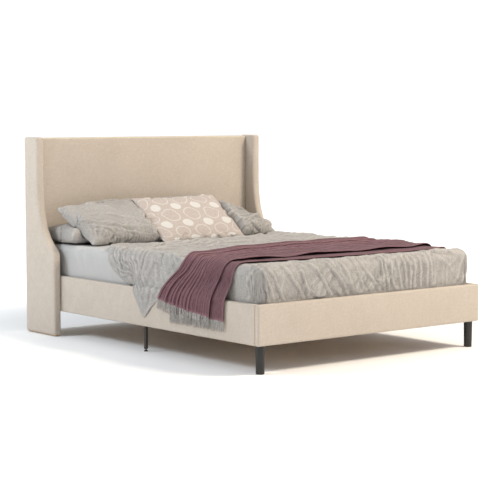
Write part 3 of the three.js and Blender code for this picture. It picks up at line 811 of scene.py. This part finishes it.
def make_duvet():
    step = 0.0085
    columns = round(2 * DUVET_SIDE / step)
    rows = round((DUVET_HEAD[:, 1].max() - DUVET_FOOT) / step)
    s, share = np.meshgrid(np.linspace(-DUVET_SIDE, DUVET_SIDE, columns), np.linspace(0, 1, rows))
    warp = np.stack([s, share * 1.5], -1)
    head = np.interp(s, DUVET_HEAD[:, 0], DUVET_HEAD[:, 1]) + 0.006 * ripple(warp[..., :1], 0.12, 50)
    t = DUVET_FOOT + share * (head - DUVET_FOOT)
    points, out = loosen_flap(laid_over(s, t, **DUVET), s, t)
    normals = grid_normals(points)
    bent_s = s + 0.010 * ripple(warp, 0.25, 51)
    bent_t = t + 0.010 * ripple(warp, 0.22, 52)
    free = smoothstep(points[..., 2], RAIL_TOP - 0.002, RAIL_TOP + 0.018)
    hanging = out * smoothstep(-points[..., 2], -RAIL_TOP - 0.060, -RAIL_TOP - 0.010)
    relief = 1.6 * folds(bent_s, bent_t, duvet_folds())
    relief += 0.0025 * ripple(warp, 0.30, 53) + 0.0012 * ripple(warp, 0.06, 54)
    under_throw = smoothstep(t, -0.96, -0.92) * smoothstep(-t, 0.42, 0.47)
    relief = relief * free * (1 - hanging) * (1 - 0.7 * under_throw) + hanging * flap_folds(points)
    puff = 0.010 * (1 - out) * smoothstep(-t, -0.16, -0.05) * smoothstep(t, -0.20, -0.05) * (s < 0)
    relief += puff * np.exp(-(((points[..., 2] - RAIL_TOP - 0.03) / 0.025) ** 2))
    points += normals * relief[..., None]
    held = np.clip((1 - free) * (1 - out) + 0.75 * hanging + 0.9 * under_throw, 0, 1)
    points = crumpled(points, normals, grid_faces(rows, columns), held, 0.060)
    points = rolled_edge(points, normals, 0.007, 0.012)
    rolled = len(points) - rows
    cloth = np.stack([s, t], -1)
    cloth = np.concatenate([cloth, cloth[-1] + np.arange(1, rolled + 1)[:, None, None] * [0, 0.005]])
    obj = new_object("duvet_cloth", points, grid_faces(len(points), columns), cloth)
    modifier(obj, "SOLIDIFY", thickness=0.002, offset=-1)
    dress(obj, "grey_linen", "mattress_set", "grey_linen", "duvet")


def make_fitted_sheet():
    top = sheet_high[2]
    shape = {"half": sheet_high[0], "foot": sheet_low[1], "head": sheet_high[1], "top": top,
             "edge": 0.038, "corner": 0.073}
    over = over_length(shape["edge"], shape["corner"], top, sheet_low[2])
    side = shape["half"] - shape["corner"] + over
    foot = shape["foot"] + shape["corner"] - over
    head = shape["head"] - shape["corner"] + over
    step = 0.013
    rows, columns = round((head - foot) / step), round(2 * side / step)
    s, t = np.meshgrid(np.linspace(-side, side, columns), np.linspace(foot, head, rows))
    points = laid_over(s, t, **shape)
    normals = grid_normals(points)
    cloth = np.stack([s, t], -1)
    long, wide, high = (0.12, 0.32), (0.010, 0.018), (0.002, 0.004)
    lines = scattered(16, 21, (-side, -side + 0.12), (0.15, 0.80), 28, long, wide, high)
    lines += scattered(16, 22, (side - 0.12, side), (-0.5, 0.80), 150, long, wide, high)
    lines += scattered(14, 23, (-0.5, 0.6), (0.2, 0.75), 15, (0.1, 0.4), wide, (0.001, 0.003), 30)
    relief = folds(s + 0.008 * ripple(cloth, 0.2, 24), t, lines) + 0.0008 * ripple(cloth, 0.12, 25)
    relief *= smoothstep(points[..., 2], RAIL_TOP - 0.002, RAIL_TOP + 0.02)
    edge = np.interp(s, DUVET_HEAD[:, 0], DUVET_HEAD[:, 1])
    covered = smoothstep(t - edge, -0.06, 0.0)
    points += normals * (relief * covered - 0.0030 * (1 - covered))[..., None]
    obj = new_object("fitted_sheet_cloth", points, grid_faces(rows, columns), cloth)
    modifier(obj, "SOLIDIFY", thickness=0.0012, offset=-1)
    dress(obj, "white_cotton", "mattress_set", "white_cotton", "fitted_sheet")


def make_mattress():
    """The mattress under its sheet: quilted ticking with a taped edge round its bottom."""
    source = frame["nodes"]["mattress"].data.copy()
    obj = bpy.data.objects.new("mattress_ticking", source)
    bpy.context.scene.collection.objects.link(obj)
    modifier(obj, "REMESH", mode="VOXEL", voxel_size=0.012)
    modifier(obj, "SMOOTH", factor=0.5, iterations=4)
    evaluated = obj.evaluated_get(bpy.context.evaluated_depsgraph_get())
    mesh = bpy.data.meshes.new_from_object(evaluated)
    obj.modifiers.clear()
    obj.data = mesh
    mesh.materials.clear()
    co = np.zeros(len(mesh.vertices) * 3)
    mesh.vertices.foreach_get("co", co)
    co = co.reshape(-1, 3)
    pitch, depth = 0.16, 0.005
    centre = (mattress_low + mattress_high) / 2
    flat = smoothstep(np.abs(co[:, 2] - centre[2]), 0.115, 0.122)
    diagonals = [np.abs(np.sin(math.pi * (co[:, 0] + sign * co[:, 1]) / pitch)) for sign in (1, -1)]
    seam = np.exp(-((np.minimum(*diagonals) / 0.22) ** 2))
    co[:, 2] -= np.sign(co[:, 2] - centre[2]) * flat * seam * depth
    co = centre + (co - centre) * 0.9975
    mesh.vertices.foreach_set("co", co.ravel())
    mesh.shade_smooth()
    dress(obj, "ticking", "mattress_set", "ticking", "mattress", fill=1.0)
    turns = np.linspace(0, 2 * math.pi, 160, endpoint=False)
    straight = (mattress_high[:2] - mattress_low[:2]) / 2 - MATTRESS_CORNER
    reach = MATTRESS_CORNER - 0.006
    sides = np.sign(np.stack([np.cos(turns), np.sin(turns)], 1))
    plan = centre[:2] + sides * straight + reach * np.stack([np.cos(turns), np.sin(turns)], 1)
    line = np.column_stack([plan, np.full(len(plan), mattress_low[2] + 0.016)])
    tape = new_object("mattress_tape", *ring_tube(line, 0.0055))
    dress(tape, "ticking", "mattress_set", "ticking")


def ring_tube(line, radius, sides=8):
    """A tube round a closed level line."""
    heading = np.roll(line, -1, 0) - np.roll(line, 1, 0)
    heading /= np.linalg.norm(heading, axis=1, keepdims=True)
    up = np.array([0, 0, 1.0])
    side = np.cross(heading, up)
    turns = np.linspace(0, 2 * math.pi, sides, endpoint=False)
    rings = line[:, None] + radius * (np.cos(turns)[:, None] * side[:, None] + np.sin(turns)[:, None] * up)
    count = len(line)
    faces = []
    for i in range(count):
        for j in range(sides):
            k, n = (j + 1) % sides, (i + 1) % count
            faces.append((i * sides + j, n * sides + j, n * sides + k, i * sides + k))
    return rings.reshape(-1, 3), faces


# ---- The throw -----------------------------------------------------------------------------

THROW_TOP = {"head": throw_high[1] - 0.0075, "foot": -0.7175, "lift": 0.0085}
THROW_UNDER = {"head": -0.355, "foot": throw_low[1] + 0.0125, "lift": 0.003}
THROW_UNDER_HEM = 0.246  # height of the under layer's hem; the top layer's is throw_hem
RIB = 0.034


def throw_line(lift, hem):
    """The throw's way across the bed in (x, z): up beside the rail, over the mattress, down."""
    out = RAIL_OUTSIDE + 0.0075 + lift
    sill = RAIL_TOP + 0.012
    edge = 0.047 + lift
    side = duvet_high[0] + 0.003 + lift
    top = duvet_high[2] + lift
    turn = np.linspace(0, math.pi / 2, 9)
    arc = np.stack([-side + edge - edge * np.cos(turn), top - edge + edge * np.sin(turn)], 1)
    bend = [[-out, sill - 0.03], [-out + 0.001, sill - 0.008], [-out + 0.006, sill + 0.012]]
    half = np.concatenate([[[-out, hem]], bend, [[-side - 0.006, sill + 0.085]], arc])
    mirrored = half[::-1] * [-1, 1]
    return np.concatenate([half, mirrored])


def throw_hem(t):
    """Height of the top layer's hem, which hangs a little lower towards the foot."""
    return np.interp(t, [-0.75, -0.53, -0.24], [0.256, 0.272, 0.316])


HEAD_SLIDE = np.array([  # how far the throw's head edge lies off straight, by place across
    (-1.07, 0.01), (-1.00, 0.0), (-0.93, -0.04), (-0.87, -0.085), (-0.82, -0.15), (-0.77, -0.185),
    (-0.65, -0.145), (-0.49, -0.075), (-0.30, -0.015), (-0.09, 0.02), (0.09, 0.05), (0.41, 0.07),
    (0.72, 0.06), (1.07, 0.0),
])
FOOT_SLIDE = np.array([  # and its foot edge
    (-1.07, 0.01), (-0.90, 0.005), (-0.82, -0.005), (-0.76, -0.035), (-0.68, -0.068),
    (-0.40, -0.088), (0.0, -0.11), (0.50, -0.11), (0.75, -0.04), (1.07, 0.0),
])


def throw_slide(place, t):
    """How far a point of the throw has been pulled along the bed."""
    to_foot = np.clip((throw_high[1] - t) / (throw_high[1] - throw_low[1]), 0, 1)
    at_head = np.interp(place, HEAD_SLIDE[:, 0], HEAD_SLIDE[:, 1])
    at_foot = np.interp(place, FOOT_SLIDE[:, 0], FOOT_SLIDE[:, 1])
    return at_head + (at_foot - at_head) * to_foot


def throw_layer(name, layer, hem, relief, step_t):
    """One layer of the throw; relief gives its folds over (share of the way across, t)."""
    rows = round((layer["head"] - layer["foot"]) / step_t)
    ts = np.linspace(layer["foot"], layer["head"], rows)
    columns = 220
    points = np.zeros((rows, columns, 3))
    share, t = np.meshgrid(np.linspace(-1, 1, columns), ts)
    length = 0
    for i, row_t in enumerate(ts):
        line = throw_line(layer["lift"], hem(row_t))
        total = np.linalg.norm(np.diff(line, axis=0), axis=1).sum()
        length = max(length, total)
        xz = along_line(line, np.linspace(0, total, columns))
        slid = row_t + throw_slide(np.linspace(-total / 2, total / 2, columns), row_t)
        points[i] = np.column_stack([xz[:, 0], slid, xz[:, 1]])
    smooth = points.copy()
    for _ in range(3):
        smooth[:, 1:-1] = (smooth[:, :-2] + smooth[:, 1:-1] + smooth[:, 2:]) / 3
    normals = grid_normals(smooth)
    height, sway = relief(share, t, smooth)
    points = smooth + normals * height[..., None]
    points[..., 1] += sway
    uv = np.stack([share * length / 2, t], -1)
    obj = new_object(name, points, grid_faces(rows, columns), uv)
    modifier(obj, "SOLIDIFY", thickness=0.003, offset=0)
    return obj, points, length


def throw_sway(share):
    """How far the throw wanders along the bed on its way across."""
    return 0.006 * ripple(share[..., None] * 1.1, 0.5, 63)


def top_relief(share, t, points):
    head, foot = THROW_TOP["head"], THROW_TOP["foot"]
    across = (head - t) / (head - foot)  # 0 at the head edge, 1 at the fold
    place = np.stack([share * 1.1, t], -1)
    drift = 0.007 * ripple(place, 0.45, 61)
    uneven = 0.8 + 0.4 * ripple(t[..., None], 0.06, 66)
    strength = (0.0075 * (1 - smoothstep(across, 0.45, 0.85)) + 0.0010) * uneven
    hanging = smoothstep(0.50 - points[..., 2], 0.0, 0.08)
    ribs = strength * (0.75 + 0.25 * hanging) * (0.5 + 0.5 * np.sin(2 * math.pi * (t + drift) / RIB)) ** 1.6
    fine = 0.0007 * np.sin(2 * math.pi * (t + drift) / (RIB / 3))
    on_top = 1 - hanging
    ridge = 0.009 * np.exp(-(((across - 0.62) / 0.15) ** 2)) * on_top
    roll = 0.009 * np.exp(-(((across - 0.05) / 0.07) ** 2)) * on_top
    dip = -0.004 * np.exp(-(((across - 0.24) / 0.05) ** 2)) * on_top
    lip = 0.004 * np.exp(-(((across - 0.97) / 0.06) ** 2))
    broad = 0.003 * ripple(place, 0.30, 62) * on_top
    return ribs + fine + ridge + roll + dip + lip + broad + 0.004, throw_sway(share)


def under_relief(share, t, points):
    place = np.stack([share * 1.1, t], -1)
    fine = 0.0010 * np.sin(2 * math.pi * t / (RIB / 2.5))
    sway = throw_sway(share) + 0.004 * ripple(share[..., None] * 1.1, 0.35, 64)
    edge = 0.003 * np.exp(-(((t - THROW_UNDER["foot"]) / 0.02) ** 2))
    return fine + edge + 0.0012 * ripple(place, 0.2, 65), sway


def fringe_strands(hem_points, length, seed):
    """Strands that hang from points along a hem, each a little different."""
    random = np.random.default_rng(seed)
    steps = np.linalg.norm(np.diff(hem_points, axis=0), axis=1)
    total = steps.sum()
    count = round(total / 0.0062)
    roots = along_line(hem_points, (np.arange(count) + 0.5) / count * total)
    outward = np.sign(roots[0, 0])
    parts = []
    for root in roots:
        root = root + [outward * random.uniform(-0.001, 0.002), random.uniform(-0.002, 0.002), 0.004]
        sway = random.normal(size=2) * [0.0015, 0.005]
        fall = length * random.uniform(0.88, 1.08)
        share = np.linspace(0, 1, 6)[:, None]
        line = root + share * [0, 0, -fall] + share**2 * [outward * abs(sway[0]), sway[1], 0]
        line[:, 1] += 0.0012 * np.sin(share[:, 0] * 9 + random.uniform(0, 6))
        thick = random.uniform(0.0017, 0.0024)
        parts.append(tube(line, thick * np.array([1, 1.05, 1, 0.95, 0.85, 0.45])))
    return parts


def make_throw():
    top, points, length = throw_layer("throw_top_layer", THROW_TOP, throw_hem, top_relief, 0.0035)
    under, lower, _ = throw_layer("throw_under_layer", THROW_UNDER, lambda t: THROW_UNDER_HEM,
                                  under_relief, 0.007)
    strands = []
    for seed, (layer, reach) in enumerate(((points, 0.058), (lower, 0.056))):
        for column in (0, -1):
            strands += fringe_strands(layer[:, column], reach, 70 + 2 * seed - column)
    fringe = joined("throw_fringe", strands)
    dress(under, "plum_knit", "throw", "plum_knit")
    dress(fringe, "fringe", "throw", "plum_knit")
    dress(top, "plum_knit", "throw", "plum_knit", "throw")


# ---- Pillows and the cushion ---------------------------------------------------------------

SLEEPER_SIZE = (0.735, 0.440)
SCATTER_SIZE = (0.700, 0.400)
SLEEPER_LEAN = 34  # degrees back from standing on the bed face up
SCATTER_LEAN, SCATTER_YAW = 41, 8


def case_net(width, height, step):
    """A flat case of two layers sewn round their border: points, faces and cloth places."""
    nu, nv = round(width / step), round(height / step)
    u, v = np.meshgrid(np.linspace(-width / 2, width / 2, nu), np.linspace(-height / 2, height / 2, nv))
    u, v = u.ravel(), v.ravel()
    border = (np.abs(u) > width / 2 - 1e-6) | (np.abs(v) > height / 2 - 1e-6)
    puff = 0.006 * (1 - (2 * u / width) ** 4) * (1 - (2 * v / height) ** 4)
    back_index = np.where(border, np.arange(len(u)), len(u) + np.cumsum(~border) - 1)
    points = np.concatenate([np.column_stack([u, v, puff]), np.column_stack([u, v, -puff])[~border]])
    front = grid_faces(nv, nu)
    back = [tuple(int(back_index[i]) for i in face[::-1]) for face in front]
    cloth = points[:, :2].copy()
    return points, front + back, cloth


def blown_up(points, faces, frames, pressure, growth):
    """The case after its filling has pushed it out, by cloth simulation."""
    obj = new_object("case", points, faces)
    soft_cloth(obj, frames, quality=6, mass=0.15, air_damping=6, tension_stiffness=25,
               compression_stiffness=25, use_pressure=True, uniform_pressure_force=pressure,
               shrink_min=-growth)
    return run_cloth(obj, frames)


def squared_up(points, cloth, share):
    """Fills out the hollow sides that the filling leaves, so that the corners stand out less."""
    made = points.copy()
    for axis, other in ((0, 1), (1, 0)):
        rim = np.abs(cloth[:, axis]) > np.abs(cloth[:, axis]).max() - 1e-6
        order = np.argsort(cloth[rim, other])
        reach = np.interp(cloth[:, other], cloth[rim, other][order], np.abs(points[rim, axis])[order])
        made[:, axis] *= 1 + share * (reach.max() / reach - 1)
    return made


def stuffed_case(width, height, step, pressure, growth=0.03, frames=34):
    """A filled case in its own frame, width by height and 1 thick; its faces and cloth places."""
    points, faces, cloth = case_net(width, height, step)
    made = blown_up(points, faces, frames, pressure, growth)
    made = squared_up(made, cloth, 0.75)
    low, high = made.min(0), made.max(0)
    made = (made - (low + high) / 2) / (high - low) * [width, height, 1.0]
    return made, faces, cloth


def creased(points, cloth, seed, amount, heading):
    """Long soft creases over a filled case that run about one way, and finer ones across them."""
    thin, thick = (0.004, 0.007), (0.006, 0.010)
    short, long = (0.05, 0.14), (0.14, 0.34)
    lines = scattered(30, seed, (-0.34, 0.25), (-0.2, 0.2), heading, long, thick, (0.5, 1.1), 10)
    lines += scattered(50, seed + 1, (-0.33, 0.33), (-0.2, 0.2), heading, short, thin, (0.3, 0.8), 22)
    lines += scattered(30, seed + 2, (-0.33, 0.33), (-0.22, -0.12), 80, (0.04, 0.09), thin, (0.4, 0.9), 18)
    lines += fan((-0.33, -0.20), (15, 30, 45, 60, 75), (0.10, 0.26), thin, (0.5, 1.2), seed + 3)
    bent = cloth + 0.005 * np.stack([ripple(cloth, 0.15, seed + 6), ripple(cloth, 0.15, seed + 7)], -1)
    relief = folds(bent[:, 0], bent[:, 1], lines) + 0.5 * ripple(cloth, 0.16, seed + 5)
    edge = np.abs(2 * cloth / SLEEPER_SIZE).max(axis=1)
    made = points.copy()
    made[:, 2] += np.sign(points[:, 2]) * amount * relief * np.clip(1 - edge**12, 0, 1)
    return made


def slumped(points, outer, top_outer, top_inner, tucked_in, drawn_in):
    """Lowers a standing pillow's top edge, more at its outer end, and draws that end's lower
    corner in by one length and its upper corner by another."""
    half_width, half_height = np.abs(points[:, 0]).max(), np.abs(points[:, 1]).max()
    outward = smoothstep(outer * points[:, 0] / half_width, -0.2, 1.0)
    upward = smoothstep(points[:, 1] / half_height, -1.0, 1.0)
    made = points.copy()
    made[:, 1] -= upward * (top_inner + (top_outer - top_inner) * outward)
    made[:, 0] -= outer * outward * (tucked_in + (drawn_in - tucked_in) * upward)
    return made


def fuller(points, power):
    """Keeps a filled case thick closer to its seams."""
    made = points.copy()
    thickest = np.abs(points[:, 2]).max()
    made[:, 2] = np.sign(points[:, 2]) * thickest * (np.abs(points[:, 2]) / thickest) ** power
    return made


def turned(lean, yaw):
    """The turn of a case that leans back and is swung round, in degrees."""
    return Matrix.Rotation(math.radians(yaw), 3, "Z") @ Matrix.Rotation(math.radians(lean), 3, "X")


def leaned(points, lean, yaw, centre):
    return points @ np.array(turned(lean, yaw)).T + centre


def soft_floor(points, height, ease=0.02):
    """Flattens what would sink below a height, easing into the flat."""
    rise = points[:, 2] - height
    made = points.copy()
    made[:, 2] = height + np.where(rise > ease, rise, ease * np.exp(np.clip(rise / ease - 1, -8, 0)))
    return made


def pushed_back(points, faces, other, heading, clearance=0.003):
    """Moves points that would be inside another cushion back behind it, against its heading."""
    tree = BVHTree.FromPolygons(other.tolist(), faces)
    far = 0.6
    way = Vector(heading)
    made = points.copy()
    for i, point in enumerate(points):
        start = Vector(point) - way * far
        hit = tree.ray_cast(start, way, 2 * far)[0]
        if hit is not None:
            room = (hit - start).length - clearance
            made[i] = np.array(start + way * min(far, room)) if room < far else point
    return made


def make_cushion(name, points, faces, cloth, material, body, node, fill):
    obj = new_object(name, points, faces, cloth)
    modifier(obj, "SUBSURF", levels=1, render_levels=1)
    dress(obj, material, body, material, node, fill=fill)
    return obj


def make_cushions():
    sleeper, sleeper_faces, sleeper_cloth = stuffed_case(*SLEEPER_SIZE, 0.0090, 7.0, growth=0.015)
    scatter, scatter_faces, scatter_cloth = stuffed_case(*SCATTER_SIZE, 0.0100, 5.0, growth=0.015)
    floor = BED_TOP + 0.002
    wall = headboard_low[1] - 0.002

    def centre(node):
        low, high = corners(node)
        return (low + high) / 2

    shape = fuller(scatter * [1.06, 1.0, 0.085], 0.85)
    stood = centre("scatter_cushion") + [-0.012, 0.002, -0.029]
    scatter_place = leaned(shape, SCATTER_LEAN, SCATTER_YAW, stood)
    scatter_place = soft_floor(scatter_place, floor, 0.006)
    up = Vector((0, 0, 1))
    scatter_out = turned(SCATTER_LEAN, SCATTER_YAW) @ up
    pillow_out = turned(SLEEPER_LEAN, 0) @ up
    make_cushion("scatter_cushion_case", scatter_place, scatter_faces, scatter_cloth, "printed_cotton",
                 "scatter_cushion", "scatter_cushion", 0.5)
    slumps = {  # top edge lowered at its outer and inner end, outer end drawn in low and high
        "left": (0.070, 0.030, 0.055, 0.0),
        "right": (0.185, 0.026, 0.020, 0.130),
    }
    for side, mirror, seed in (("left", 1, 81), ("right", -1, 91)):
        node = f"{side}_pillow"
        shape = fuller(sleeper * [mirror, 1, 0.135], 0.80)
        shape = creased(shape, sleeper_cloth * [mirror, 1], seed, 0.0095, -18 * mirror)
        shape = slumped(shape, -mirror, *slumps[side])
        stood = centre(node) + [-0.012 * (mirror > 0), -0.014, -0.004]
        place = leaned(shape, SLEEPER_LEAN, 0, stood)
        place = soft_floor(place, floor, 0.008)
        place[:, 1] = np.minimum(place[:, 1], wall)
        place = pushed_back(place, scatter_faces, scatter_place, scatter_out)
        faces = sleeper_faces if mirror > 0 else [face[::-1] for face in sleeper_faces]
        make_cushion(f"{node}_case", place, faces, sleeper_cloth, "grey_linen", node, node, 0.6)
        rear = f"rear_pillow_{side}"
        shape = fuller(sleeper * [-0.95 * mirror, 0.75, 0.130], 0.45)
        shape = creased(shape, sleeper_cloth * [-mirror, 1], seed + 10, 0.004, 10)
        laid = soft_floor(leaned(shape, 0, 0, centre(rear) - [0, 0.010, 0]), floor)
        laid[:, 1] = np.minimum(laid[:, 1], wall)
        laid = pushed_back(laid, faces, place, pillow_out)
        faces = [face[::-1] for face in faces]
        make_cushion(f"{rear}_case", laid, faces, sleeper_cloth, "grey_linen", rear, rear, 0.8)


# ---- Room, light and camera ----------------------------------------------------------------


ROOM_LIGHT = 0.70


def make_floor():
    """A white floor that glows further out, where it would otherwise fall off into grey."""
    size = 30.0
    floor = new_object("floor", [(-size, -size, 0), (size, -size, 0), (size, size, 0), (-size, size, 0)],
                       [(0, 1, 2, 3)])
    surface = Surface("floor_paint", Roughness=0.9, Specular_IOR_Level=0.1, Emission_Color=(1, 1, 1, 1))
    tone = surface.noise(surface.place(), 0.4)
    base = surface.mix(tone, (0.90, 0.90, 0.90, 1), (0.92, 0.92, 0.92, 1))
    inputs = {0: surface.place((1, 1, 0))}
    out = surface.node("ShaderNodeVectorMath", inputs, operation="LENGTH").outputs["Value"]
    glow = surface.remap(out, 1.7, 3.2, 0.0, 0.45)
    surface.links.new(glow, surface.shader.inputs["Emission Strength"])
    floor.data.materials.append(surface.finish(base))


def area_light(name, place, target, size, power, tint):
    light = bpy.data.lights.new(name, "AREA")
    light.shape = "DISK"
    light.size = size
    light.energy = power
    light.color = tint
    obj = bpy.data.objects.new(name, light)
    obj.location = place
    obj.rotation_euler = (Vector(target) - Vector(place)).to_track_quat("-Z", "Y").to_euler()
    bpy.context.scene.collection.objects.link(obj)


def make_light():
    """Two softboxes in an even room whose far side, behind the bed, is lit up to white."""
    world = bpy.data.worlds.new("studio")
    world.use_nodes = True
    nodes, links = world.node_tree.nodes, world.node_tree.links
    heading = nodes.new("ShaderNodeTexCoord").outputs["Generated"]
    toward = nodes.new("ShaderNodeVectorMath")
    toward.operation = "DOT_PRODUCT"
    toward.inputs[1].default_value = (0.63, 0.78, 0.0)
    links.new(heading, toward.inputs[0])
    strength = nodes.new("ShaderNodeMapRange")
    settings = {"From Min": 0.70, "From Max": 0.90, "To Min": ROOM_LIGHT, "To Max": 1.05}
    for socket, value in settings.items():
        strength.inputs[socket].default_value = value
    links.new(toward.outputs["Value"], strength.inputs["Value"])
    links.new(strength.outputs["Result"], nodes["Background"].inputs["Strength"])
    nodes["Background"].inputs["Color"].default_value = (1.0, 1.0, 1.0, 1.0)
    bpy.context.scene.world = world
    area_light("key", (2.9, -3.8, 5.6), (0, 0, 0.4), 2.0, 410, (1.0, 0.87, 0.71))
    area_light("fill", (-4.6, 2.0, 3.8), (0, 0, 0.4), 1.6, 150, (0.84, 0.92, 1.0))
    bpy.context.scene.view_settings.view_transform = "Standard"


def make_camera():
    camera = bpy.data.cameras.new("camera")
    camera.lens = 114.56
    camera.sensor_width = 36
    obj = bpy.data.objects.new("camera", camera)
    obj.location = (-5.777, -7.177, 1.317)
    obj.rotation_euler = [math.radians(angle) for angle in (85.036, 0, -38.914)]
    bpy.context.scene.collection.objects.link(obj)
    bpy.context.scene.camera = obj


# ---- The whole bed -------------------------------------------------------------------------

make_camera()
make_light()
make_floor()
finish_cad_nodes()
make_headboard()
make_foot_rail()
for number, end in enumerate(("left", "right")):
    make_wing(end, 21 + number)
    make_side_rail(end, 31 + number)
    make_front_leg(end)
make_mattress()
make_fitted_sheet()
make_duvet()
make_throw()
make_cushions()
